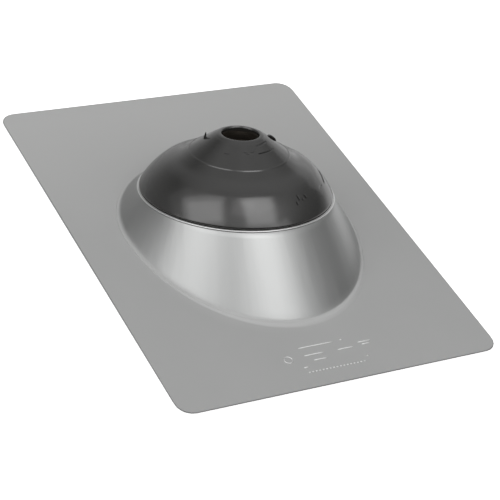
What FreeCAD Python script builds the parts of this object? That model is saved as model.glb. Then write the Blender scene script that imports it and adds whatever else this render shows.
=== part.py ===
import FreeCAD, Part
import Sketcher
import math
import os

# Pipe flashing boot.  Row frame, millimetres: origin at the centre of the
# plate underside, +X across the plate, +Y up the roof slope (long side),
# +Z up.  Two physical pieces:
#   base_flashing  one drawn aluminium sheet: flat flange, tilted hood with a
#                  rolled rim, open right through
#   pipe_collar    one moulded black collar that closes the hood down to the
#                  pipe hole; it stands on the hood's tilted rim

V = FreeCAD.Vector
doc = FreeCAD.newDocument("pipe_flashing_boot")
sheet = doc.addObject("Spreadsheet::Sheet", "Params")
sheet.Label = "Params"

values = [
    ("plate_width", 286.0), ("plate_length", 372.0), ("sheet_gauge", 0.6),
    ("corner_radius", 13.0),
    # hood: egg-shaped foot on the plate, round tilted rim
    ("foot_centre_y", 9.2), ("foot_half_width", 101.0),
    ("foot_front_reach", 127.6), ("foot_back_reach", 90.6),
    ("foot_inset_side", 0.77), ("foot_inset_front", 0.98), ("foot_inset_back", 0.64),
    ("rim_centre_y", 19.56), ("rim_centre_z", 25.49), ("rim_tilt", 15.62),
    ("rim_radius", 80.75), ("rim_bore_radius", 80.0),
    ("foot_fillet", 4.0), ("under_fillet", 4.6),
    ("curl_ring_radius", 81.75), ("curl_wire_radius", 0.9), ("curl_drop", 1.05),
    # collar: radius and height of each profile corner above the rim plane
    ("seat_inner_r", 79.8), ("seat_outer_r", 80.4), ("seat_h", 0.0),
    ("skirt_foot_h", -3.0), ("skirt_bore_r", 77.3),
    ("band_foot_h", 3.0),
    ("band_top_r", 64.6), ("band_top_h", 21.3), ("band_bulge", 78.0),
    ("dome_top_r", 50.4), ("dome_top_h", 28.1), ("dome_bulge", 30.0),
    ("score_low_r", 41.85), ("score_low_h", 34.14),
    ("score_peak_outer_r", 41.6), ("score_peak_outer_h", 34.7),
    ("score_peak_inner_r", 41.1), ("score_peak_inner_h", 35.05),
    ("score_high_r", 40.85), ("score_high_h", 34.85),
    ("tear_low_r", 29.6), ("tear_low_h", 42.79),
    ("tear_floor_outer_r", 29.2), ("tear_floor_outer_h", 42.47),
    ("tear_floor_inner_r", 28.6), ("tear_floor_inner_h", 42.85),
    ("tear_high_r", 28.3), ("tear_high_h", 43.71),
    ("neck_foot_r", 21.8), ("neck_foot_h", 48.3),
    ("neck_root_r", 21.2), ("neck_root_h", 48.55),
    ("lip_root_r", 20.7), ("lip_root_h", 48.8),
    ("lip_side_r", 20.2), ("lip_side_h", 49.02), ("lip_bulge", 6.5),
    ("hole_r", 15.86), ("lip_top_h", 50.2), ("hole_foot_h", 45.9),
    ("cone_bore_r", 49.6), ("cone_bore_h", 26.2),
    ("dome_bore_r", 63.3), ("dome_bore_h", 19.8), ("dome_bore_bulge", 28.0),
    ("skirt_bore_top_h", 2.0), ("band_bore_bulge", 74.0),
    # pull tabs of the tear ring: one stands up, the other lies down the cone
    ("tab_up_thick", 1.2), ("tab_up_width", 5.0), ("tab_up_tall", 4.7),
    ("tab_up_ring", 26.9), ("tab_up_foot_h", 43.6), ("tab_up_turn", 148.0),
    ("tab_low_reach", 6.0), ("tab_low_width", 1.8), ("tab_low_tall", 2.5),
    ("tab_low_ring", 25.2), ("tab_low_foot_h", 44.8), ("tab_low_turn", -7.0),
    ("tab_low_slope", 35.23),
]
for row, (alias, number) in enumerate(values, start=1):
    sheet.set("A%d" % row, alias)
    sheet.set("B%d" % row, repr(float(number)))
    sheet.setAlias("B%d" % row, alias)
doc.recompute()
num = dict(values)


def origin_item(body, role):
    for item in body.Origin.OriginFeatures:
        if item.Role == role:
            return item


def new_sketch(body, name, role="XY_Plane"):
    sketch = body.newObject("Sketcher::SketchObject", name)
    sketch.AttachmentSupport = [(origin_item(body, role), "")]
    sketch.MapMode = "FlatFace"
    return sketch


def bind(sketch, kind, refs, number, formula):
    """Adds a distance-like constraint and ties it to the sheet."""
    index = sketch.addConstraint(Sketcher.Constraint(kind, *(list(refs) + [number])))
    sketch.setExpression("Constraints[%d]" % index, formula)
    return index


def pin(sketch, geo, pos, r, h, r_name, h_name):
    """Fixes one point of a sketch to (r, h) named in the sheet."""
    if abs(h) < 1e-9:
        sketch.addConstraint(Sketcher.Constraint("PointOnObject", geo, pos, -1))
    elif h > 0:
        bind(sketch, "DistanceY", (-1, 1, geo, pos), h, "Params.%s" % h_name)
    else:
        bind(sketch, "DistanceY", (geo, pos, -1, 1), -h, "-Params.%s" % h_name)
    bind(sketch, "DistanceX", (-1, 1, geo, pos), r, "Params.%s" % r_name)


# ---------------------------------------------------------------- base flashing
base = doc.addObject("PartDesign::Body", "base_flashing")
base.Label = "base_flashing"

plate = new_sketch(base, "plate_outline")
hw, hl = num["plate_width"] / 2, num["plate_length"] / 2
pts = [V(-hw, -hl, 0), V(hw, -hl, 0), V(hw, hl, 0), V(-hw, hl, 0)]
for k in range(4):
    plate.addGeometry(Part.LineSegment(pts[k], pts[(k + 1) % 4]), False)
for k in range(4):
    plate.addConstraint(Sketcher.Constraint("Coincident", k, 2, (k + 1) % 4, 1))
for k in (0, 2):
    plate.addConstraint(Sketcher.Constraint("Horizontal", k))
for k in (1, 3):
    plate.addConstraint(Sketcher.Constraint("Vertical", k))
plate.addConstraint(Sketcher.Constraint("Symmetric", 0, 1, 1, 2, -1, 1))
bind(plate, "DistanceX", (0, 1, 0, 2), 2 * hw, "Params.plate_width")
bind(plate, "DistanceY", (1, 1, 1, 2), 2 * hl, "Params.plate_length")
plate_pad = base.newObject("PartDesign::Pad", "plate_pad")
plate_pad.Profile = plate
plate_pad.Length = num["sheet_gauge"]
plate_pad.setExpression("Length", "Params.sheet_gauge")
doc.recompute()

corner_edges = []
for index, edge in enumerate(plate_pad.Shape.Edges, start=1):
    box = edge.BoundBox
    if box.XLength < 0.01 and box.YLength < 0.01:
        corner_edges.append("Edge%d" % index)
corners = base.newObject("PartDesign::Fillet", "plate_corners")
corners.Base = (plate_pad, corner_edges)
corners.Radius = num["corner_radius"]
corners.setExpression("Radius", "Params.corner_radius")
doc.recompute()


def egg_sketch(name, inset):
    """Foot curve: two half ellipses with one width; inset is True inside."""
    sketch = new_sketch(base, name)
    side = num["foot_half_width"] - (num["foot_inset_side"] if inset else 0)
    front = num["foot_front_reach"] - (num["foot_inset_front"] if inset else 0)
    back = num["foot_back_reach"] - (num["foot_inset_back"] if inset else 0)
    side_f = "Params.foot_half_width" + (" - Params.foot_inset_side" if inset else "")
    front_f = "Params.foot_front_reach" + (" - Params.foot_inset_front" if inset else "")
    back_f = "Params.foot_back_reach" + (" - Params.foot_inset_back" if inset else "")
    yc = num["foot_centre_y"]
    centre = V(0, yc, 0)
    low = Part.Ellipse(V(0, yc - front, 0), V(side, yc, 0), centre)
    high = Part.Ellipse(V(side, yc, 0), V(0, yc + back, 0), centre)
    a = sketch.addGeometry(Part.ArcOfEllipse(low, -math.pi / 2, math.pi / 2), False)
    b = sketch.addGeometry(Part.ArcOfEllipse(high, 0, math.pi), False)
    sketch.exposeInternalGeometry(a)
    sketch.exposeInternalGeometry(b)
    sketch.addConstraint(Sketcher.Constraint("Coincident", a, 2, b, 1))
    sketch.addConstraint(Sketcher.Constraint("Coincident", a, 1, b, 2))
    sketch.addConstraint(Sketcher.Constraint("Coincident", a, 3, b, 3))
    sketch.addConstraint(Sketcher.Constraint("PointOnObject", a, 3, -2))
    bind(sketch, "DistanceY", (-1, 1, a, 3), yc, "Params.foot_centre_y")
    sketch.addConstraint(Sketcher.Constraint("Vertical", 2))
    sketch.addConstraint(Sketcher.Constraint("Horizontal", 6))
    bind(sketch, "Distance", (2,), 2 * front, "2 * (%s)" % front_f)
    bind(sketch, "Distance", (3,), 2 * side, "2 * (%s)" % side_f)
    bind(sketch, "Distance", (7,), 2 * back, "2 * (%s)" % back_f)
    bind(sketch, "DistanceY", (-1, 1, a, 1), yc, "Params.foot_centre_y")
    bind(sketch, "DistanceY", (-1, 1, a, 2), yc, "Params.foot_centre_y")
    return sketch


def rim_sketch(name, radius, radius_name):
    """Round rim on the tilted plane, in two half circles."""
    sketch = new_sketch(base, name)
    sketch.AttachmentOffset = FreeCAD.Placement(
        V(0, num["rim_centre_y"], num["rim_centre_z"]),
        FreeCAD.Rotation(V(-1, 0, 0), num["rim_tilt"]))
    sketch.setExpression("AttachmentOffset.Base.y", "Params.rim_centre_y")
    sketch.setExpression("AttachmentOffset.Base.z", "Params.rim_centre_z")
    sketch.setExpression("AttachmentOffset.Rotation.Angle", "Params.rim_tilt")
    ring = Part.Circle(V(0, 0, 0), V(0, 0, 1), radius)
    a = sketch.addGeometry(Part.ArcOfCircle(ring, math.pi, 2 * math.pi), False)
    b = sketch.addGeometry(Part.ArcOfCircle(ring, 0, math.pi), False)
    sketch.addConstraint(Sketcher.Constraint("Coincident", a, 3, -1, 1))
    sketch.addConstraint(Sketcher.Constraint("Coincident", b, 3, -1, 1))
    sketch.addConstraint(Sketcher.Constraint("Coincident", a, 2, b, 1))
    sketch.addConstraint(Sketcher.Constraint("Coincident", a, 1, b, 2))
    sketch.addConstraint(Sketcher.Constraint("PointOnObject", a, 1, -1))
    sketch.addConstraint(Sketcher.Constraint("PointOnObject", a, 2, -1))
    bind(sketch, "Radius", (a,), radius, "Params.%s" % radius_name)
    return sketch


hood_foot = egg_sketch("hood_foot", False)
hood_rim = rim_sketch("hood_rim", num["rim_radius"], "rim_radius")
hood = base.newObject("PartDesign::AdditiveLoft", "hood")
hood.Profile = hood_foot
hood.Sections = [hood_rim]
hood.Ruled = True
doc.recompute()


def egg_edges(shape, z, reach):
    """Names of the foot-curve edges that lie in the plane at height z."""
    found = []
    for index, edge in enumerate(shape.Edges, start=1):
        box = edge.BoundBox
        if abs(box.ZMin - z) < 0.02 and abs(box.ZMax - z) < 0.02 \
                and box.XLength > 60 and box.XMax < reach and box.XMin > -reach \
                and box.YMax < 120 and box.YMin > -130:
            found.append("Edge%d" % index)
    return found


outer_fillet = base.newObject("PartDesign::Fillet", "hood_foot_fillet")
outer_fillet.Base = (hood, egg_edges(hood.Shape, num["sheet_gauge"], 120))
outer_fillet.Radius = num["foot_fillet"]
outer_fillet.setExpression("Radius", "Params.foot_fillet")
doc.recompute()

bore_foot = egg_sketch("bore_foot", True)
bore_rim = rim_sketch("bore_rim", num["rim_bore_radius"], "rim_bore_radius")
bore = base.newObject("PartDesign::SubtractiveLoft", "hood_bore")
bore.Profile = bore_foot
bore.Sections = [bore_rim]
bore.Ruled = True
doc.recompute()

under_fillet = base.newObject("PartDesign::Fillet", "hood_under_fillet")
under_fillet.Base = (bore, egg_edges(bore.Shape, 0.0, 120))
under_fillet.Radius = num["under_fillet"]
under_fillet.setExpression("Radius", "Params.under_fillet")
doc.recompute()

curl = base.newObject("PartDesign::AdditiveTorus", "rim_curl")
curl.Radius1 = num["curl_ring_radius"]
curl.Radius2 = num["curl_wire_radius"]
curl.setExpression("Radius1", "Params.curl_ring_radius")
curl.setExpression("Radius2", "Params.curl_wire_radius")
curl.AttachmentSupport = [(hood_rim, "")]
curl.MapMode = "ObjectXY"
curl.AttachmentOffset = FreeCAD.Placement(V(0, 0, -num["curl_drop"]), FreeCAD.Rotation())
curl.setExpression("AttachmentOffset.Base.z", "-Params.curl_drop")
doc.recompute()
base.Tip = curl
base.Placement = FreeCAD.Placement(V(0, 0, 0), FreeCAD.Rotation())

# ------------------------------------------------------------------ pipe collar
collar_body = doc.addObject("PartDesign::Body", "collar_shell")
collar_body.Label = "collar_shell"
profile = new_sketch(collar_body, "collar_profile", "XZ_Plane")

# corners in order; each entry is (r name, h name, bulge name and side of the
# arc that leads to the next corner, or None for a straight edge)
corners_list = [
    ("seat_inner_r", "seat_h", None), ("seat_outer_r", "seat_h", None),
    ("seat_outer_r", "band_foot_h", ("band_bulge", 1)),
    ("band_top_r", "band_top_h", ("dome_bulge", 1)),
    ("dome_top_r", "dome_top_h", None),
    ("score_low_r", "score_low_h", None), ("score_peak_outer_r", "score_peak_outer_h", None),
    ("score_peak_inner_r", "score_peak_inner_h", None), ("score_high_r", "score_high_h", None),
    ("tear_low_r", "tear_low_h", None), ("tear_floor_outer_r", "tear_floor_outer_h", None),
    ("tear_floor_inner_r", "tear_floor_inner_h", None), ("tear_high_r", "tear_high_h", None),
    ("neck_foot_r", "neck_foot_h", None), ("neck_root_r", "neck_root_h", None),
    ("lip_root_r", "lip_root_h", None), ("lip_side_r", "lip_side_h", ("lip_bulge", 1)),
    ("hole_r", "lip_top_h", None), ("hole_r", "hole_foot_h", None),
    ("cone_bore_r", "cone_bore_h", ("dome_bore_bulge", -1)),
    ("dome_bore_r", "dome_bore_h", ("band_bore_bulge", -1)),
    ("skirt_bore_r", "skirt_bore_top_h", None), ("skirt_bore_r", "skirt_foot_h", None),
    ("seat_inner_r", "skirt_foot_h", None),
]


def bulged(p, q, radius, side):
    """Arc from p to q whose centre lies to the left of p->q when side is 1."""
    mid = (p + q) * 0.5
    half = (q - p).Length / 2
    left = V(-(q - p).y, (q - p).x, 0).normalize()
    centre = mid + left * (side * math.sqrt(radius * radius - half * half))
    a0 = math.atan2(p.y - centre.y, p.x - centre.x)
    a1 = math.atan2(q.y - centre.y, q.x - centre.x)
    return centre, a0, a1


total = len(corners_list)
spots = [V(num[c[0]], num[c[1]], 0) for c in corners_list]
starts, ends = [], []
for k, (r_name, h_name, arc) in enumerate(corners_list):
    p, q = spots[k], spots[(k + 1) % total]
    if arc is None:
        profile.addGeometry(Part.LineSegment(p, q), False)
        starts.append(1)
        ends.append(2)
    else:
        centre, a0, a1 = bulged(p, q, num[arc[0]], arc[1])
        ring = Part.Circle(centre, V(0, 0, 1), num[arc[0]])
        if arc[1] == 1:
            profile.addGeometry(Part.ArcOfCircle(ring, a0, a1 if a1 > a0 else a1 + 2 * math.pi), False)
            starts.append(1)
            ends.append(2)
        else:
            profile.addGeometry(Part.ArcOfCircle(ring, a1, a0 if a0 > a1 else a0 + 2 * math.pi), False)
            starts.append(2)
            ends.append(1)
for k in range(total):
    nxt = (k + 1) % total
    profile.addConstraint(Sketcher.Constraint("Coincident", k, ends[k], nxt, starts[nxt]))
for k, (r_name, h_name, arc) in enumerate(corners_list):
    pin(profile, k, starts[k], num[r_name], num[h_name], r_name, h_name)
    if arc is not None:
        bind(profile, "Radius", (k,), num[arc[0]], "Params.%s" % arc[0])

turn = collar_body.newObject("PartDesign::Revolution", "collar_turn")
turn.Profile = profile
turn.ReferenceAxis = (profile, ["V_Axis"])
turn.Angle = 360.0
doc.recompute()
collar_body.Tip = turn


def tab(name, reach, width, tall, ring, foot_h, turn_name, slope):
    """Small pull tab: a block on the tear ring, turned about the collar axis."""
    block = doc.addObject("Part::Box", name)
    block.Label = name
    for prop, alias in (("Length", reach), ("Width", width), ("Height", tall)):
        setattr(block, prop, num[alias])
        block.setExpression(prop, "Params.%s" % alias)
    spin = FreeCAD.Rotation(V(0, 0, 1), num[turn_name])
    rot = spin.multiply(FreeCAD.Rotation(V(0, 1, 0), slope))
    foot = spin.multVec(V(num[ring], 0, 0)) + V(0, 0, num[foot_h])
    corner = rot.multVec(V(0, -num[width] / 2, 0))
    block.Placement = FreeCAD.Placement(foot + corner, rot)
    block.setExpression("Placement.Base.z", "Params.%s + %.6f" % (foot_h, corner.z))
    return block


tab_up = tab("tab_up", "tab_up_thick", "tab_up_width", "tab_up_tall", "tab_up_ring",
             "tab_up_foot_h", "tab_up_turn", 0.0)
tab_low = tab("tab_low", "tab_low_reach", "tab_low_width", "tab_low_tall", "tab_low_ring",
              "tab_low_foot_h", "tab_low_turn", num["tab_low_slope"])
collar = doc.addObject("Part::MultiFuse", "pipe_collar")
collar.Label = "pipe_collar"
collar.Shapes = [collar_body, tab_up, tab_low]
collar.Refine = False
collar.Placement = FreeCAD.Placement(V(0, num["rim_centre_y"], num["rim_centre_z"]),
                                     FreeCAD.Rotation(V(-1, 0, 0), num["rim_tilt"]))
collar.setExpression("Placement.Base.y", "Params.rim_centre_y")
collar.setExpression("Placement.Base.z", "Params.rim_centre_z")
collar.setExpression("Placement.Rotation.Angle", "Params.rim_tilt")
doc.recompute()

# ----------------------------------------------------------------- check, export
for item in doc.Objects:
    state = list(item.State)
    if "Invalid" in state or "Error" in state:
        raise RuntimeError("feature failed: %s %s" % (item.Name, state))
os.makedirs("parts", exist_ok=True)
for node, item in (("base_flashing", base), ("pipe_collar", collar)):
    shape = item.Shape
    if shape.isNull() or not shape.isValid():
        raise RuntimeError("bad shape: " + node)
    solids = shape.Solids
    if len(solids) != 1:
        raise RuntimeError("%s has %d solids" % (node, len(solids)))
    print(node, "volume mm3", round(shape.Volume, 1), shape.BoundBox)
    shape.exportStep("parts/%s.step" % node)
clash = base.Shape.common(collar.Shape)
print("overlap mm3", clash.Volume, "gap", base.Shape.distToShape(collar.Shape)[0])
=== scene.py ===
import bpy, bmesh, math
import numpy as np
from mathutils import Matrix, Quaternion, Vector, noise


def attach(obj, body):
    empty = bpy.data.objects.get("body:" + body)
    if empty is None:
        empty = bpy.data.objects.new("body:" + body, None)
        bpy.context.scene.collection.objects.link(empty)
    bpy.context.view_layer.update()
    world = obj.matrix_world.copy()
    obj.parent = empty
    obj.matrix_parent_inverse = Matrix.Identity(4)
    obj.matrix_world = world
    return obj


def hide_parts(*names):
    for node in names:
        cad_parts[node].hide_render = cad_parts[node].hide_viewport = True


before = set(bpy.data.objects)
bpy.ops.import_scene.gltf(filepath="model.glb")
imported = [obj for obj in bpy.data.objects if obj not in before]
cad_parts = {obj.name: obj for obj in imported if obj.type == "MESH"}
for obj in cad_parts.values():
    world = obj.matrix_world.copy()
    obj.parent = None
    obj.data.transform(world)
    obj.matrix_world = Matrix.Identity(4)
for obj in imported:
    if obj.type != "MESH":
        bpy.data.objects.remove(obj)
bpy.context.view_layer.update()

MM = 0.001
scene = bpy.context.scene

# ------------------------------------------------------------------ geometry
# shared construction, millimetres, row frame (same numbers as the CAD sheet)
TILT = math.radians(15.62)
C0 = np.array([0.0, 19.56, 25.49])
EX = np.array([1.0, 0.0, 0.0])
EY = np.array([0.0, math.cos(TILT), -math.sin(TILT)])
EN = np.array([0.0, math.sin(TILT), math.cos(TILT)])
GAUGE = 0.6
HALF_W, HALF_L, CORNER = 143.0, 186.0, 13.0


def axis_point(r, h, phi):
    return C0 + EN * h + r * (math.cos(phi) * EX + math.sin(phi) * EY)


def mesh_object(name, verts, faces, smooth=True):
    me = bpy.data.meshes.new(name)
    me.from_pydata([tuple(float(c) * MM for c in v) for v in verts], [], faces)
    me.validate()
    ob = bpy.data.objects.new(name, me)
    scene.collection.objects.link(ob)
    if smooth:
        me.polygons.foreach_set("use_smooth", [True] * len(me.polygons))
    bm = bmesh.new()
    bm.from_mesh(me)
    bmesh.ops.recalc_face_normals(bm, faces=bm.faces)
    bm.to_mesh(me)
    bm.free()
    me.update()
    return ob


def ring_faces(rows, n, closed=True, start=0):
    """Quads between successive closed rings of n points."""
    out = []
    last = rows if closed else rows - 1
    for i in range(last):
        a, b = start + i * n, start + ((i + 1) % rows) * n
        for k in range(n):
            k2 = (k + 1) % n
            out.append((a + k, a + k2, b + k2, b + k))
    return out


# ------------------------------------------------------------------ flashing
NT = 384


def outline_point(k):
    """Rounded-rectangle outline, one point for each ring index, evenly by
    angle about the hood foot so that the plate's quads stay tidy."""
    th = 2 * math.pi * k / NT
    dx, dy = math.cos(th), math.sin(th)
    cy = 9.2
    best = None
    # ray from (0, cy) to the rounded rectangle
    for axis, lim in ((0, HALF_W), (0, -HALF_W), (1, HALF_L), (1, -HALF_L)):
        d = dx if axis == 0 else dy
        o = 0.0 if axis == 0 else cy
        if abs(d) < 1e-9:
            continue
        t = (lim - o) / d
        if t <= 0:
            continue
        x, y = dx * t, cy + dy * t
        if abs(x) <= HALF_W + 1e-6 and abs(y) <= HALF_L + 1e-6:
            if best is None or t < best:
                best = t
    x, y = dx * best, cy + dy * best
    cx, cyy = HALF_W - CORNER, HALF_L - CORNER
    if abs(x) > cx and abs(y) > cyy:
        sx, sy = math.copysign(cx, x), math.copysign(cyy, y)
        # intersect the ray with the corner circle
        ox, oy = 0.0 - sx, cy - sy
        b = ox * dx + oy * dy
        c = ox * ox + oy * oy - CORNER ** 2
        t = -b + math.sqrt(max(b * b - c, 0.0))
        x, y = dx * t, cy + dy * t
    return np.array([x, y])


def foot_curve(th, a, b1, b2):
    s = math.sin(th)
    return np.array([a * math.cos(th), 9.2 + (b2 if s >= 0 else b1) * s, 0.0])


def foot_radius(th):
    s = math.sin(th)
    return 4.2 - 1.3 * s if s < 0 else 4.2 - 1.4 * s


def hood_section(th, outer):
    """Points of one section from the plate tangent up to the rim."""
    if outer:
        a, b1, b2, r, zp = 101.0, 127.6, 90.6, 80.75, GAUGE
    else:
        a, b1, b2, r, zp = 100.23, 126.62, 89.96, 80.0, 0.0
    radius = foot_radius(th) + (0.0 if outer else GAUGE)
    foot = foot_curve(th, a, b1, b2)
    rim = axis_point(r, 0.0, th)
    g = rim - foot
    length = np.linalg.norm(g)
    g = g / length
    horiz = math.hypot(g[0], g[1])
    d = np.array([-g[0], -g[1], 0.0]) / horiz
    phi = math.atan2(g[2], horiz)
    e = foot + g * (zp / g[2])
    wall = np.linalg.norm(rim - e)
    t = radius * math.tan(phi / 2)
    if t > wall * 0.62:
        t = wall * 0.62
        radius = t / math.tan(phi / 2)
    b = e + d * t
    pts = []
    steps = 12
    if not outer:
        for i in range(steps + 1):
            be = phi * i / steps
            pts.append(b + np.array([0, 0, radius * (1 - math.cos(be))]) - d * (radius * math.sin(be)))
        return pts, pts[-1], rim, b
    # a narrow drawn band runs round the foot, widest at the front; the wall
    # meets it in a small concave corner
    front = max(0.0, -math.sin(th))
    width = 2.6 + 3.8 * front ** 1.6
    lift = 0.6 + 0.5 * front
    right_front = max(0.0, math.cos(th + math.radians(78))) ** 2
    corner = 1.9 - 1.1 * right_front
    w_top = foot + g * ((zp + lift + corner) / g[2])
    w_low = foot + g * ((zp + lift) / g[2])
    toe = e + d * (width - 0.4)
    toe[2] = zp
    crease = w_low + d * corner
    for i in range(8):
        f = i / 7.0
        q = toe + (crease - toe) * f
        q[2] = zp + lift * (0.5 - 0.5 * math.cos(math.pi * min(1.0, f * 1.35))) if f < 0.74 else zp + lift
        pts.append(q)
    for i in range(1, 6):
        f = i / 5.0
        q = crease * (1 - f) ** 2 + w_low * 2 * f * (1 - f) + w_top * f * f
        pts.append(q)
    return pts, pts[-1], rim, toe


def build_flashing():
    verts, rows = [], []
    outer_rows = [[] for _ in range(64)]
    columns = []
    for k in range(NT):
        th = 2 * math.pi * k / NT
        col = []
        out2 = outline_point(k)
        po, so, ro, bo = hood_section(th, True)
        pi_, si, ri, bi = hood_section(th, False)
        # plate underside, from the outline in to the under fillet
        edge_drop = 0.12
        # outline: underside -> edge -> top
        nrm = out2 - np.array([0, 9.2])
        nrm = nrm / np.linalg.norm(nrm)
        plate_steps = 12
        under = []
        for i in range(plate_steps):
            f = i / plate_steps
            p = np.array([out2[0], out2[1]]) - nrm * 0.15
            q = bi[:2]
            under.append(np.array([p[0] + (q[0] - p[0]) * f, p[1] + (q[1] - p[1]) * f, 0.0]))
        top = []
        for i in range(plate_steps):
            f = (i - 1) / (plate_steps - 1) if i > 0 else 0.0
            p = np.array([out2[0], out2[1]]) - nrm * (0.15 if i == 0 else 1.0)
            q = bo[:2]
            top.append(np.array([p[0] + (q[0] - p[0]) * f, p[1] + (q[1] - p[1]) * f, GAUGE]))
        col.append(np.array([out2[0], out2[1], 0.15]))
        col += under
        col += pi_
        # inner wall up to just under the rim
        n_wall = 10
        for i in range(1, n_wall):
            f = i / n_wall
            col.append(si + (ri - si) * f)
        # rim: inner edge, top land, rolled bead, back to the outer wall
        hs = [(80.0, -0.12), (80.08, -0.03), (80.2, 0.0), (80.42, 0.0)]
        for r, h in hs:
            col.append(axis_point(r, h, th))
        bead_r, bead_h, wire = 81.2, -0.78, 0.76
        for deg in (138, 118, 98, 78, 58, 38, 18, -2, -22, -42, -58):
            be = math.radians(deg)
            col.append(axis_point(bead_r + wire * math.cos(be), bead_h + wire * math.sin(be), th))
        # outer wall from just under the bead down to the fillet
        wall = so - ro
        wl = np.linalg.norm(wall)
        first = min(1.9 / wl, 0.5)
        for i in range(14):
            f = first + (1 - first) * (i / 14)
            col.append(ro + wall * f)
        col += po[::-1]
        col += top[::-1]
        col.append(np.array([out2[0], out2[1], GAUGE - 0.15]))
        columns.append(col)
    nrow = len(columns[0])
    for r in range(nrow):
        for k in range(NT):
            verts.append(columns[k][r])
    faces = ring_faces(nrow, NT, closed=True)
    ob = mesh_object("flashing_sheet_skin", verts, faces)
    me = ob.data
    # 0 on the flat flange, 1 on the drawn hood, blended over the foot fillet
    mask = me.attributes.new("hood", "FLOAT", "POINT")
    edge = me.attributes.new("edge", "FLOAT", "POINT")
    # painted highlight: the rim attribute lifts the base colour on the rim land and bead top, and on the foot band
    # towards the front left
    painted_highlight_attr = me.attributes.new("rim", "FLOAT", "POINT")
    values, edges, painted_highlight_values = [], [], []
    inner = 1 + 12 + 13 + 9
    for r in range(nrow):
        for k in range(NT):
            p = columns[k][r]
            on_wall = 13 <= r < nrow - 13
            at_foot = r - (nrow - 26)
            if at_foot >= 0:
                values.append((0.85, 0.55, 0.3, 0.12)[at_foot] if at_foot < 4 else 0.0)
            else:
                values.append(max(0.0, min(1.0, (p[2] - GAUGE - 0.1) / 0.6)) if on_wall else 0.0)
            edges.append(1.0 if (r in (0, 1) or r >= nrow - 2) else 0.0)
            # painted highlight on the foot band, strongest towards the front left where the light falls; the rim land
            # and bead top rows get full painted highlight
            band = (0.0, 0.05, 0.15, 0.3, 0.45, 0.5, 0.5, 0.5, 0.5, 0.45, 0.35, 0.2, 0.05)
            if 0 <= at_foot < len(band):
                th_k = 2 * math.pi * k / NT
                painted_highlight_values.append(band[at_foot] * (0.04 + 0.46 * max(0.0, math.cos(th_k + math.radians(112))) ** 1.5))
            else:
                painted_highlight_values.append(1.0 if inner <= r < inner + 4 + 7 else 0.0)
    mask.data.foreach_set("value", values)
    edge.data.foreach_set("value", edges)
    painted_highlight_attr.data.foreach_set("value", painted_highlight_values)
    for attr, turn in (("around_x", math.cos), ("around_y", math.sin)):
        around = me.attributes.new(attr, "FLOAT", "POINT")
        around.data.foreach_set("value", [turn(2 * math.pi * k / NT) for r in range(nrow) for k in range(NT)])
    return ob


# ------------------------------------------------------------------ collar
PHIS = []
_a = -180.0
while _a < 180.0 - 1e-6:
    PHIS.append(math.radians(_a))
    _a += 0.5 if -50.0 <= _a < -16.0 else 1.5
NC = len(PHIS)
PROFILE_OUT = [  # (r, h, arc radius to next or 0)
    (79.4, 0.0, 0), (79.5, 0.5, 0), (80.1, 0.75, 0), (80.35, 1.7, 76.0), (64.6, 21.3, 30.0),
    (50.4, 28.1, 0), (21.8, 48.3, 0), (21.2, 48.6, 0), (20.2, 49.02, 6.5), (15.86, 50.1, 0)]
PROFILE_IN = [
    (15.86, 50.1, 0), (15.86, 45.9, 0), (49.6, 26.2, -28.0), (63.3, 19.8, -74.0),
    (77.3, 2.0, 0), (77.3, -3.0, 0), (79.5, -3.0, 0), (79.5, 0.0, 0)]


def step_at(r, h):
    """Sampling step along the outer profile: fine where there is relief."""
    for lo, hi, fine in ((40.4, 42.3, 0.22), (28.1, 30.0, 0.22), (15.8, 21.9, 0.3), (64.0, 72.2, 0.4), (79.0, 81.0, 0.3)):
        if lo <= r <= hi and h > -0.5:
            return fine
    return 0.9


def sample_profile(items, step=None):
    pts = []
    for i in range(len(items) - 1):
        p = np.array(items[i][:2], float)
        q = np.array(items[i + 1][:2], float)
        rad = items[i][2]
        length = np.linalg.norm(q - p)
        centre = None
        if rad != 0:
            side = 1 if rad > 0 else -1
            rr = abs(rad)
            left = np.array([-(q - p)[1], (q - p)[0]]) / length
            centre = (p + q) / 2 + left * side * math.sqrt(rr * rr - length * length / 4)
            a0 = math.atan2(p[1] - centre[1], p[0] - centre[0])
            a1 = math.atan2(q[1] - centre[1], q[0] - centre[0])
            da = (a1 - a0 + math.pi) % (2 * math.pi) - math.pi
        f = 0.0
        while f < 1.0 - 1e-9:
            if centre is None:
                c = p + (q - p) * f
            else:
                a = a0 + da * f
                c = centre + rr * np.array([math.cos(a), math.sin(a)])
            pts.append(c)
            f += (step if step else step_at(c[0], c[1])) / length
            if 1.0 - f < 0.1 / length:
                break
    pts.append(np.array(items[-1][:2], float))
    return pts


def soften(pts, passes=2, keep_ends=True):
    pts = [p.copy() for p in pts]
    for _ in range(passes):
        new = [pts[0]]
        for i in range(1, len(pts) - 1):
            new.append(pts[i] * 0.5 + (pts[i - 1] + pts[i + 1]) * 0.25)
        new.append(pts[-1])
        pts = new
    return pts


def bump01(x, centre, half):
    d = abs(x - centre) / half
    return 0.0 if d >= 1 else 0.5 * (1 + math.cos(math.pi * d))


def arc_window(phi, lo, hi, soft=4.0):
    """1 inside the azimuth range lo..hi degrees, soft ends."""
    d = math.degrees(phi)
    mid, half = (lo + hi) / 2, (hi - lo) / 2
    x = abs((d - mid + 180) % 360 - 180)
    if x <= half:
        return 1.0
    if x >= half + soft:
        return 0.0
    return 1 - (x - half) / soft


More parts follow.
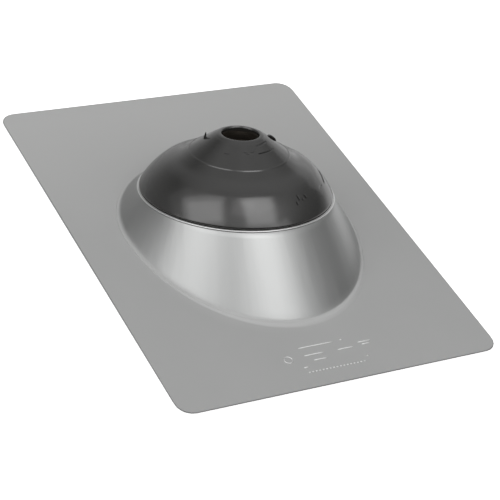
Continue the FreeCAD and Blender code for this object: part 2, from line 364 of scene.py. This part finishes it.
def collar_relief(r, h, phi):
    """Height added along the surface normal at (r, h, phi), millimetres."""
    out = 0.0
    if h > 20:
        # outer cut ring: a fine raised bead
        out += 0.34 * bump01(r, 41.35, 0.55)
        # second cut ring: faint all round, cut deeper beside the low tab
        out -= (0.05 + 0.8 * arc_window(phi, -84, -54, 6.0)) * bump01(r, 29.0, 0.62)
        # crescent under the lip
        out -= 1.0 * arc_window(phi, -80, -54, 6.0) * bump01(r, 22.6 - 0.05 * (math.degrees(phi) + 66) * 0.5, 0.5)
    if 12 < h < 24:
        # slit that curls over the shoulder on the right
        d = math.degrees(phi)
        line = 67.4 - (d + 20.0) * 0.30
        out -= 0.9 * arc_window(phi, -32.5, -21.0, 1.5) * bump01(r, line, 0.6)
        out += 0.35 * arc_window(phi, -32.5, -21.0, 1.5) * bump01(r, line + 1.0, 0.5)
        out -= 0.55 * arc_window(phi, -46.0, -41.0, 1.0) * bump01(r, 70.2, 0.5)
    return out


def build_collar():
    po = sample_profile(PROFILE_OUT)
    head = po[:6]
    po = head + soften(po[5:], 4)[1:]
    # the shoulder rolls over into the foot of the cone without a hard corner
    lo = next(i for i, p in enumerate(po) if p[0] < 62.5 and p[1] > 10)
    hi = next(i for i, p in enumerate(po) if p[0] < 43.2 and p[1] > 10)
    po = po[:lo] + soften(po[lo:hi], 26) + po[hi:]
    pi_ = sample_profile(PROFILE_IN, 2.2)[1:-1]
    outer_n = len(po)
    prof = po + pi_
    nrm = []
    for i, p in enumerate(po):
        a = po[max(i - 1, 0)]
        b = po[min(i + 1, outer_n - 1)]
        t = (b - a) / np.linalg.norm(b - a)
        nrm.append(np.array([t[1], -t[0]]))
    verts = []
    for i, p in enumerate(prof):
        for phi in PHIS:
            q = p
            if 8 < i < outer_n - 2:
                q = p + nrm[i] * collar_relief(p[0], p[1], phi)
            verts.append(axis_point(q[0], q[1], phi))
    faces = ring_faces(len(prof), NC, closed=True)
    return mesh_object("collar_skin", verts, faces)


flashing = build_flashing()
collar = build_collar()


def tube(name, path, radius, sides=12, caps=True):
    """Round bar along a list of points (mm)."""
    path = [np.array(p, float) for p in path]
    verts, faces = [], []
    up = None
    for i, p in enumerate(path):
        t = path[min(i + 1, len(path) - 1)] - path[max(i - 1, 0)]
        t = t / np.linalg.norm(t)
        if up is None:
            seed = np.array([0, 0, 1.0]) if abs(t[2]) < 0.9 else np.array([1.0, 0, 0])
            up = np.cross(t, seed)
            up /= np.linalg.norm(up)
        up = up - t * np.dot(up, t)
        up /= np.linalg.norm(up)
        side = np.cross(t, up)
        rad = radius[i] if isinstance(radius, (list, tuple)) else radius
        for k in range(sides):
            a = 2 * math.pi * k / sides
            verts.append(p + rad * (math.cos(a) * up + math.sin(a) * side))
    n = len(path)
    faces = ring_faces(n, sides, closed=False)
    if caps:
        verts.append(path[0])
        verts.append(path[-1])
        c0, c1 = n * sides, n * sides + 1
        for k in range(sides):
            k2 = (k + 1) % sides
            faces.append((k2, k, c0))
            faces.append(((n - 1) * sides + k, (n - 1) * sides + k2, c1))
    return mesh_object(name, verts, faces)


def cone_h(r):
    """Collar outer height on the cone at radius r."""
    return 28.1 + (50.4 - r) * (48.3 - 28.1) / (50.4 - 21.8)


def smooth_path(pts, n=40):
    """Catmull-Rom through points."""
    pts = [np.array(p, float) for p in pts]
    ext = [2 * pts[0] - pts[1]] + pts + [2 * pts[-1] - pts[-2]]
    out = []
    segs = len(pts) - 1
    for i in range(segs):
        p0, p1, p2, p3 = ext[i], ext[i + 1], ext[i + 2], ext[i + 3]
        m = max(2, n // segs)
        for j in range(m):
            t = j / m
            out.append(0.5 * ((2 * p1) + (-p0 + p2) * t + (2 * p0 - 5 * p1 + 4 * p2 - p3) * t * t
                              + (-p0 + 3 * p1 - 3 * p2 + p3) * t ** 3))
    out.append(pts[-1])
    return out


# low pull tab: a small strap that lies down the cone on the right
phi_r = math.radians(-7)
low = smooth_path([axis_point(24.8, cone_h(24.8) - 0.5, phi_r), axis_point(25.4, cone_h(25.4) + 0.5, phi_r),
                   axis_point(27.2, cone_h(27.2) + 1.0, phi_r), axis_point(29.6, cone_h(29.6) + 0.95, phi_r),
                   axis_point(31.2, cone_h(31.2) + 0.4, phi_r), axis_point(31.8, cone_h(31.8) - 0.6, phi_r)], 40)
tab_low = tube("pull_tab_low", low, [0.8 + 0.35 * math.sin(math.pi * i / (len(low) - 1)) for i in range(len(low))])
# upright pull tab on the left: a thin tapered tongue with a thicker waist
phi_l = math.radians(148)
up_pts = [axis_point(28.9 - 0.06 * q, cone_h(28.9) - 1.0 + 6.3 * q / 12.0, phi_l) for q in range(13)]
tab_up = tube("pull_tab_up", up_pts, [1.15, 1.15, 1.15, 1.15, 1.1, 1.05, 0.95, 0.85, 0.75, 0.65, 0.55, 0.45, 0.3])

pieces_rubber = [collar, tab_low, tab_up]


def small_mark(name, r0, h0, phi0, length, width, height, angle, normal_tilt):
    """Tiny raised bar lying on the collar at (r0, h0, phi0 degrees)."""
    phi = math.radians(phi0)
    base = axis_point(r0, h0, phi)
    radial = math.cos(phi) * EX + math.sin(phi) * EY
    tang = -math.sin(phi) * EX + math.cos(phi) * EY
    down = radial * math.cos(normal_tilt) - EN * math.sin(normal_tilt)
    nrm = radial * math.sin(normal_tilt) + EN * math.cos(normal_tilt)
    u = tang * math.cos(angle) + down * math.sin(angle)
    w = np.cross(nrm, u)
    verts, faces = [], []
    n = 10
    prof = [(-1.0, -0.25), (-0.75, 0.55), (-0.3, 1.0), (0.3, 1.0), (0.75, 0.55), (1.0, -0.25)]
    for i in range(n + 1):
        f = i / n
        x = (f - 0.5) * length
        taper = min(1.0, 2.2 * math.sqrt(max(0.0, 1 - abs(2 * f - 1) ** 6))) if 0 < i < n else 0.25
        for (a, b) in prof:
            verts.append(base + u * x + w * (a * width / 2 * taper) + nrm * (b * height * (taper if b > 0 else 1)))
    m = len(prof)
    for i in range(n):
        for j in range(m):
            j2 = (j + 1) % m
            faces.append((i * m + j, i * m + j2, (i + 1) * m + j2, (i + 1) * m + j))
    faces.append(tuple(range(m)))
    faces.append(tuple(n * m + j for j in range(m)))
    return mesh_object(name, verts, faces)


def cone_mark(name, r0, phi0, length, width, height, angle=0.0):
    return small_mark(name, r0, cone_h(r0), phi0, length, width, height, angle, math.radians(54.8))


for item in (("cone_mark_a", 29.5, -140.0, 3.8, 0.9, 0.7, 0.0), ("cone_mark_b", 27.0, -110.0, 1.8, 0.9, 0.7, 0.9),
             ("cone_mark_c", 28.2, -105.5, 2.4, 0.9, 0.7, 0.2), ("cone_mark_d", 26.9, -97.5, 3.2, 0.8, 0.6, -0.2)):
    pieces_rubber.append(cone_mark(*item))
for item in (("band_tick_a", 68.7, 17.70, -73.6, 4.8, 0.9, 0.75, 1.5, 0.86), ("band_tick_b", 71.6, 14.75, -76.4, 2.8, 0.9, 0.7, 1.5, 0.86),
             ("band_tick_c", 69.4, 17.00, -67.0, 3.6, 0.9, 0.75, 1.4, 0.86), ("band_tick_d", 70.6, 15.80, -70.4, 1.8, 0.9, 0.6, 1.5, 0.86)):
    pieces_rubber.append(small_mark(*item))


def ridge(path, width, height, z0, closed=False):
    """Half-round embossed ridge along a flat path (mm); returns verts, faces."""
    prof = [(-1.0, 0.0), (-0.8, 0.32), (-0.45, 0.8), (0.0, 1.0), (0.45, 0.8), (0.8, 0.32), (1.0, 0.0)]
    path = [np.array(p, float) for p in path]
    m, count = len(prof), len(path)
    verts = []
    for i, p in enumerate(path):
        if closed:
            t = path[(i + 1) % count] - path[i - 1]
        else:
            t = path[min(i + 1, count - 1)] - path[max(i - 1, 0)]
        t = t / np.linalg.norm(t)
        w = np.array([-t[1], t[0]])
        end = 1.0 if closed else min(1.0, 0.12 + 1.9 * math.sqrt(max(0.0, min(i, count - 1 - i) / max(1, count - 1))))
        for (a, b) in prof:
            q = p + w * a * width / 2 * min(1.0, end + 0.15)
            verts.append(np.array([q[0], q[1], z0 + b * height * end]))
    faces = []
    for i in range(count if closed else count - 1):
        for j in range(m):
            j2 = (j + 1) % m
            a, b = i * m, ((i + 1) % count) * m
            faces.append((a + j, a + j2, b + j2, b + j))
    if not closed:
        faces.append(tuple(range(m)))
        faces.append(tuple((count - 1) * m + j for j in range(m)))
    return verts, faces


def stamped(name, paths, width, height):
    verts, faces = [], []
    for path, closed in paths:
        v, f = ridge(path, width, height, GAUGE - 0.03, closed)
        off = len(verts)
        verts += v
        faces += [tuple(i + off for i in face) for face in f]
    ob = mesh_object(name, verts, faces)
    # painted highlight: the rim attribute lifts the ridges' base colour to near white, standing in for the glints
    # they catch
    for attr, level in (("hood", 1.0), ("rim", 1.0)):
        data = ob.data.attributes.new(attr, "FLOAT", "POINT")
        data.data.foreach_set("value", [level] * len(ob.data.vertices))
    return ob


def bar(x0, x1, y, count=14):
    return ([(x0 + (x1 - x0) * i / (count - 1), y) for i in range(count)], False)


long_bars = [bar(-22.4, 9.5, -144.0), bar(-21.5, -4.0, -152.7), bar(8.5, 22.9, -153.2), bar(28.6, 40.4, -149.8),
             bar(31.0, 38.2, -152.6), bar(-16.1, -4.4, -158.9)]
stamp_bars = stamped("stamped_bars", long_bars, 1.15, 0.5)
dashes = [bar(-27.0 + 3.1 * i, -25.1 + 3.1 * i, -170.2, 8) for i in range(17)]
dashes += [bar(-28.2, -24.0, -164.6, 8), bar(15.6, 17.4, -143.6, 8), bar(28.0, 29.8, -165.4, 8)]
stamp_dashes = stamped("stamped_dashes", dashes, 1.3, 0.6)
ring = [(-36.2 + 3.4 * math.cos(2 * math.pi * i / 28), -153.6 + 3.4 * math.sin(2 * math.pi * i / 28)) for i in range(28)]
stamp_ring = stamped("stamped_ring", [(ring, True)], 0.8, 0.32)
pieces_metal = [flashing, stamp_bars, stamp_dashes, stamp_ring]

# ------------------------------------------------------------------ materials
FLAT_A, FLAT_B = (0.399, 0.402, 0.399), (0.430, 0.432, 0.430)
HOOD_A, HOOD_B = (0.433, 0.439, 0.436), (0.491, 0.496, 0.493)


def new_material(name):
    m = bpy.data.materials.new(name)
    m.use_nodes = True
    nt = m.node_tree
    nt.nodes.clear()
    out = nt.nodes.new("ShaderNodeOutputMaterial")
    bsdf = nt.nodes.new("ShaderNodeBsdfPrincipled")
    nt.links.new(bsdf.outputs["BSDF"], out.inputs["Surface"])
    return m, nt, bsdf


def n(nt, kind, **kw):
    node = nt.nodes.new(kind)
    for k, v in kw.items():
        setattr(node, k, v)
    return node


def mix_float(nt, fac, a, b):
    node = n(nt, "ShaderNodeMix", data_type="FLOAT")
    node.inputs[2].default_value = a
    node.inputs[3].default_value = b
    nt.links.new(fac, node.inputs[0])
    return node.outputs[0]


def mix_color(nt, fac, a, b):
    node = n(nt, "ShaderNodeMix", data_type="RGBA")
    nt.links.new(fac, node.inputs[0])
    for sock, v in ((node.inputs[6], a), (node.inputs[7], b)):
        if hasattr(v, "is_linked") or hasattr(v, "links"):
            nt.links.new(v, sock)
        else:
            sock.default_value = (*v, 1.0)
    return node.outputs[2]


# sheet metal: matte rolled flange, satin drawn hood
metal, nt, bsdf = new_material("drawn_aluminium_sheet")
tc = n(nt, "ShaderNodeTexCoord")
hood_at = n(nt, "ShaderNodeAttribute", attribute_name="hood")
around_x = n(nt, "ShaderNodeAttribute", attribute_name="around_x")
around_y = n(nt, "ShaderNodeAttribute", attribute_name="around_y")
grain = n(nt, "ShaderNodeTexNoise")
grain.inputs["Scale"].default_value = 700.0
grain.inputs["Detail"].default_value = 4.0
nt.links.new(tc.outputs["Object"], grain.inputs["Vector"])
cloud = n(nt, "ShaderNodeTexNoise")
cloud.inputs["Scale"].default_value = 14.0
cloud.inputs["Detail"].default_value = 3.0
nt.links.new(tc.outputs["Object"], cloud.inputs["Vector"])
# faint streaks that run up the drawn wall
sep = n(nt, "ShaderNodeSeparateXYZ")
nt.links.new(tc.outputs["Object"], sep.inputs[0])
wide = n(nt, "ShaderNodeMath", operation="MULTIPLY")
nt.links.new(around_x.outputs["Fac"], wide.inputs[0])
wide.inputs[1].default_value = 4.14
deep = n(nt, "ShaderNodeMath", operation="MULTIPLY")
nt.links.new(around_y.outputs["Fac"], deep.inputs[0])
deep.inputs[1].default_value = 4.14
tall = n(nt, "ShaderNodeMath", operation="MULTIPLY")
nt.links.new(sep.outputs["Z"], tall.inputs[0])
tall.inputs[1].default_value = 9.0
comb = n(nt, "ShaderNodeCombineXYZ")
nt.links.new(wide.outputs[0], comb.inputs[0])
nt.links.new(deep.outputs[0], comb.inputs[1])
nt.links.new(tall.outputs[0], comb.inputs[2])
streak = n(nt, "ShaderNodeTexNoise")
streak.inputs["Scale"].default_value = 1.6
streak.inputs["Detail"].default_value = 3.0
nt.links.new(comb.outputs[0], streak.inputs["Vector"])
flat_col = mix_color(nt, cloud.outputs["Fac"], FLAT_A, FLAT_B)
# painted light: the flange colour is made lighter towards its far end, where more light falls
along = n(nt, "ShaderNodeMapRange")
nt.links.new(sep.outputs["Y"], along.inputs[0])
along.inputs[1].default_value = 0.02
along.inputs[2].default_value = 0.17
flat_col = mix_color(nt, along.outputs[0], flat_col, (0.490, 0.492, 0.488))
hood_col = mix_color(nt, streak.outputs["Fac"], HOOD_A, HOOD_B)
col = mix_color(nt, hood_at.outputs["Fac"], flat_col, hood_col)
edge_at = n(nt, "ShaderNodeAttribute", attribute_name="edge")
painted_highlight_at = n(nt, "ShaderNodeAttribute", attribute_name="rim")
# painted highlight: base colour lifted to near white wherever the rim attribute is set (rim bead, front-left foot
# band, stamped ridges)
col = mix_color(nt, painted_highlight_at.outputs["Fac"], col, (0.86, 0.865, 0.86))
col = mix_color(nt, edge_at.outputs["Fac"], col, (0.15, 0.152, 0.15))
nt.links.new(col, bsdf.inputs["Base Color"])
rough_flat = mix_float(nt, grain.outputs["Fac"], 0.50, 0.60)
rough_hood = mix_float(nt, streak.outputs["Fac"], 0.36, 0.44)
rmix = n(nt, "ShaderNodeMix", data_type="FLOAT")
nt.links.new(hood_at.outputs["Fac"], rmix.inputs[0])
nt.links.new(rough_flat, rmix.inputs[2])
nt.links.new(rough_hood, rmix.inputs[3])
nt.links.new(rmix.outputs[0], bsdf.inputs["Roughness"])
mmix = mix_float(nt, hood_at.outputs["Fac"], 0.10, 1.0)
nt.links.new(mmix, bsdf.inputs["Metallic"])
# sheet waviness on the wall, fine grain everywhere
wave = n(nt, "ShaderNodeMath", operation="MULTIPLY")
nt.links.new(streak.outputs["Fac"], wave.inputs[0])
nt.links.new(hood_at.outputs["Fac"], wave.inputs[1])
bump0 = n(nt, "ShaderNodeBump")
bump0.inputs["Strength"].default_value = 0.35
bump0.inputs["Distance"].default_value = 0.0008
nt.links.new(wave.outputs[0], bump0.inputs["Height"])
bump = n(nt, "ShaderNodeBump")
bump.inputs["Strength"].default_value = 0.05
bump.inputs["Distance"].default_value = 0.0002
nt.links.new(grain.outputs["Fac"], bump.inputs["Height"])
nt.links.new(bump0.outputs["Normal"], bump.inputs["Normal"])
nt.links.new(bump.outputs["Normal"], bsdf.inputs["Normal"])

# black moulded collar
rubber, nt, bsdf = new_material("collar_black_moulding")
tc = n(nt, "ShaderNodeTexCoord")
fine = n(nt, "ShaderNodeTexNoise")
fine.inputs["Scale"].default_value = 800.0
fine.inputs["Detail"].default_value = 3.0
nt.links.new(tc.outputs["Object"], fine.inputs["Vector"])
soft = n(nt, "ShaderNodeTexNoise")
soft.inputs["Scale"].default_value = 22.0
soft.inputs["Detail"].default_value = 3.0
nt.links.new(tc.outputs["Object"], soft.inputs["Vector"])
rub_col = mix_color(nt, soft.outputs["Fac"], (0.0185, 0.0182, 0.0173), (0.0228, 0.0224, 0.0211))
nt.links.new(rub_col, bsdf.inputs["Base Color"])
rr = mix_float(nt, soft.outputs["Fac"], 0.14, 0.18)
nt.links.new(rr, bsdf.inputs["Roughness"])
bsdf.inputs["Specular IOR Level"].default_value = 1.0
bump = n(nt, "ShaderNodeBump")
bump.inputs["Strength"].default_value = 0.03
bump.inputs["Distance"].default_value = 0.0002
nt.links.new(fine.outputs["Fac"], bump.inputs["Height"])
nt.links.new(bump.outputs["Normal"], bsdf.inputs["Normal"])

floor_mat, nt, bsdf = new_material("studio_floor")
bsdf.inputs["Base Color"].default_value = (0.85, 0.85, 0.85, 1)
bsdf.inputs["Roughness"].default_value = 0.9
bsdf.inputs["Specular IOR Level"].default_value = 0.0
bsdf.inputs["Emission Color"].default_value = (1, 1, 1, 1)
# the lit table top glows evenly, but not in the dark space under the part
tc = n(nt, "ShaderNodeTexCoord")
sep = n(nt, "ShaderNodeSeparateXYZ")
nt.links.new(tc.outputs["Object"], sep.inputs[0])
edges = []
for axis, half in (("X", 0.139), ("Y", 0.182)):
    ab = n(nt, "ShaderNodeMath", operation="ABSOLUTE")
    nt.links.new(sep.outputs[axis], ab.inputs[0])
    gt = n(nt, "ShaderNodeMath", operation="GREATER_THAN")
    nt.links.new(ab.outputs[0], gt.inputs[0])
    gt.inputs[1].default_value = half
    edges.append(gt)
outside = n(nt, "ShaderNodeMath", operation="MAXIMUM")
nt.links.new(edges[0].outputs[0], outside.inputs[0])
nt.links.new(edges[1].outputs[0], outside.inputs[1])
glow = n(nt, "ShaderNodeMath", operation="MULTIPLY")
nt.links.new(outside.outputs[0], glow.inputs[0])
glow.inputs[1].default_value = 0.6
nt.links.new(glow.outputs[0], bsdf.inputs["Emission Strength"])

# ------------------------------------------------------------------ stage
KNOTS = (-0.12, 0.04, 0.22, 0.48, 0.8)
ROOM = [[1.05, 0.33, 0.14, 0.26, 0.53],
        [0.6, 0.66, 0.48, 0.45, 0.59],
        [0.3, 0.28, 0.24, 0.17, 0.53],
        [0.05, 0.08, 0.41, 0.49, 0.61],
        [0.0, 0.0, 0.0, 0.0, 0.88],
        [0.0, 0.01, 0.06, 0.25, 0.91]]
floor = bpy.data.meshes.new("studio_floor")
floor.from_pydata([(-6, -6, -0.0004), (6, -6, -0.0004), (6, 6, -0.0004), (-6, 6, -0.0004)], [], [(0, 1, 2, 3)])
floor_ob = bpy.data.objects.new("studio_floor", floor)
scene.collection.objects.link(floor_ob)
floor_ob.data.materials.append(floor_mat)
floor_ob.visible_glossy = False

# painted shade: a dark sheet fills the space between the part and the table, with a faint warm painted glow seen
# inside the hole
painted_shade_mat, nt, bsdf = new_material("studio_painted_shade_sheet")
bsdf.inputs["Base Color"].default_value = (0.02, 0.02, 0.02, 1)
bsdf.inputs["Emission Color"].default_value = (1.0, 0.86, 0.7, 1)
bsdf.inputs["Emission Strength"].default_value = 0.075
bsdf.inputs["Roughness"].default_value = 0.9
bsdf.inputs["Specular IOR Level"].default_value = 0.0
under = bpy.data.meshes.new("studio_painted_shade_sheet")
under.from_pydata([(-0.136, -0.178, -0.0002), (0.136, -0.178, -0.0002), (0.136, 0.178, -0.0002), (-0.136, 0.178, -0.0002)],
                  [], [(0, 1, 2, 3)])
painted_shade_ob = bpy.data.objects.new("studio_painted_shade_sheet", under)
scene.collection.objects.link(painted_shade_ob)
painted_shade_ob.data.materials.append(painted_shade_mat)

# pale wall round the table, seen only behind the part
wall_mat, nt, bsdf = new_material("studio_wall")
bsdf.inputs["Base Color"].default_value = (0.0, 0.0, 0.0, 1)
bsdf.inputs["Specular IOR Level"].default_value = 0.0
bsdf.inputs["Roughness"].default_value = 1.0
bsdf.inputs["Emission Color"].default_value = (1.0, 1.0, 1.0, 1)
bsdf.inputs["Emission Strength"].default_value = 1.0
wall_verts, wall_faces = [], []
for i in range(48):
    a = 2 * math.pi * i / 48
    wall_verts += [(6.0 * math.cos(a), 6.0 * math.sin(a), -0.3), (6.0 * math.cos(a), 6.0 * math.sin(a), 4.5)]
    j = (i + 1) % 48
    wall_faces.append((2 * i, 2 * i + 1, 2 * j + 1, 2 * j))
wall = bpy.data.meshes.new("studio_wall")
wall.from_pydata(wall_verts, [], wall_faces)
wall_ob = bpy.data.objects.new("studio_wall", wall)
scene.collection.objects.link(wall_ob)
wall_ob.data.materials.append(wall_mat)
wall_ob.visible_glossy = False
wall_ob.visible_diffuse = False
wall_ob.visible_shadow = False

world = bpy.data.worlds.new("studio_world")
scene.world = world
world.use_nodes = True
wt = world.node_tree
bg = wt.nodes["Background"]
bg.inputs["Strength"].default_value = 2.0
wtc = wt.nodes.new("ShaderNodeTexCoord")
wsep = wt.nodes.new("ShaderNodeSeparateXYZ")
wt.links.new(wtc.outputs["Generated"], wsep.inputs[0])
height = wt.nodes.new("ShaderNodeMapRange")
wt.links.new(wsep.outputs["Z"], height.inputs[0])
height.inputs[1].default_value = -1.0
height.inputs[2].default_value = 1.0
flat = wt.nodes.new("ShaderNodeCombineXYZ")
wt.links.new(wsep.outputs["X"], flat.inputs[0])
wt.links.new(wsep.outputs["Y"], flat.inputs[1])
unit = wt.nodes.new("ShaderNodeVectorMath")
unit.operation = "NORMALIZE"
wt.links.new(flat.outputs[0], unit.inputs[0])


def wmath(op, a, b=None, clamp=False):
    node = wt.nodes.new("ShaderNodeMath")
    node.operation = op
    node.use_clamp = clamp
    for i, v in enumerate((a, b)):
        if v is None:
            continue
        if isinstance(v, (int, float)):
            node.inputs[i].default_value = v
        else:
            wt.links.new(v, node.inputs[i])
    return node.outputs[0]


# soft walls of the studio: six sectors, each a little brighter or darker with height
total_light = None
for k in range(6):
    a = math.radians(60 * k)
    dot = wt.nodes.new("ShaderNodeVectorMath")
    dot.operation = "DOT_PRODUCT"
    wt.links.new(unit.outputs[0], dot.inputs[0])
    dot.inputs[1].default_value = (math.cos(a), math.sin(a), 0.0)
    d = wmath("MAXIMUM", dot.outputs["Value"], 0.5)
    cube = wmath("MULTIPLY", wmath("POWER", d, 3.0), 4.0)
    share = wmath("MULTIPLY", wmath("ADD", wmath("SUBTRACT", cube, wmath("MULTIPLY", d, 3.0)), 1.0), 0.5, True)
    ramp = wt.nodes.new("ShaderNodeValToRGB")
    ramp.name = "sector_%d" % k
    els = ramp.color_ramp.elements
    while len(els) < len(KNOTS):
        els.new(0.5)
    for el, z, level in zip(els, KNOTS, ROOM[k]):
        el.position = (z + 1) / 2
    for el, level in zip(els, ROOM[k]):
        el.color = (level / 2, level / 2, level / 2, 1)
    wt.links.new(height.outputs[0], ramp.inputs[0])
    part = wmath("MULTIPLY", ramp.outputs[0], share)
    total_light = part if total_light is None else wmath("ADD", total_light, part)
wt.links.new(total_light, bg.inputs["Color"])


BOXES = [("key_left", 181, 45, 42, 40, 56, 0.82),
         ("key_left_core", 182, 46, 33, 26, 56, 0.80),
         ("key_right", 286, 65, 34, 44, -20, 0.64),
         ("key_right_core", 285, 66, 28, 30, -20, 0.85),
         ("right_low", 300, 35, 25, 20, 0, 0.61),
         ("left_low", 178, 14, 28, 18, 0, 0.66),
         ("front_high", 240, 72, 20, 20, 0, 0.37),
         ("right_high", 300, 74, 24, 24, 0, 0.26),
         ("left_back", 150, 32, 24, 24, 0, 0.15),
         ("back_low", 30, 12, 30, 20, 0, 0.23)]


def softbox(name, az, el, dist, size_x, size_y, power, roll=0.0):
    """Area light facing the origin from azimuth/elevation (degrees)."""
    a, e = math.radians(az), math.radians(el)
    pos = Vector((math.cos(e) * math.cos(a), math.cos(e) * math.sin(a), math.sin(e))) * dist
    target = Vector((0, 0.02, 0.03))
    pos += target
    light = bpy.data.lights.new(name, "AREA")
    light.shape = "RECTANGLE"
    light.size, light.size_y = size_x, size_y
    light.energy = power
    ob = bpy.data.objects.new(name, light)
    ob.location = pos
    turn = Quaternion((0.0, 0.0, 1.0), math.radians(roll))
    ob.rotation_euler = ((target - pos).to_track_quat("-Z", "Y") @ turn).to_euler()
    scene.collection.objects.link(ob)
    return ob


for item in BOXES:
    name, az, el, wide_deg, tall_deg, roll, level = item
    size_x, size_y = (2 * 1.6 * math.tan(math.radians(v / 2)) for v in (wide_deg, tall_deg))
    softbox(name, az, el, 1.6, size_x, size_y, level * math.pi * size_x * size_y, roll)

# ------------------------------------------------------------------ camera
cam = bpy.data.cameras.new("photo_camera")
cam.sensor_width = 36.0
cam.lens = 126.5639
cam.clip_start = 0.05
cam_ob = bpy.data.objects.new("photo_camera", cam)
right = Vector((0.871157978, -0.446870101, 0.203447511))
up = Vector((0.146931477, 0.632623852, 0.760393452))
back = Vector((-0.468502847, -0.632529979, 0.616774600))
rot = Matrix((right, up, back)).transposed()
cam_ob.matrix_world = Matrix.Translation((-0.678196706, -0.936437206, 0.886486024)) @ rot.to_4x4()
scene.collection.objects.link(cam_ob)
scene.camera = cam_ob
scene.view_settings.view_transform = "Standard"

# ------------------------------------------------------------------ assembly
for ob in pieces_metal:
    ob.data.materials.append(metal)
    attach(ob, "root")
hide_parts("base_flashing")
for ob in pieces_rubber:
    ob.data.materials.append(rubber)
    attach(ob, "root")
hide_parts("pipe_collar")
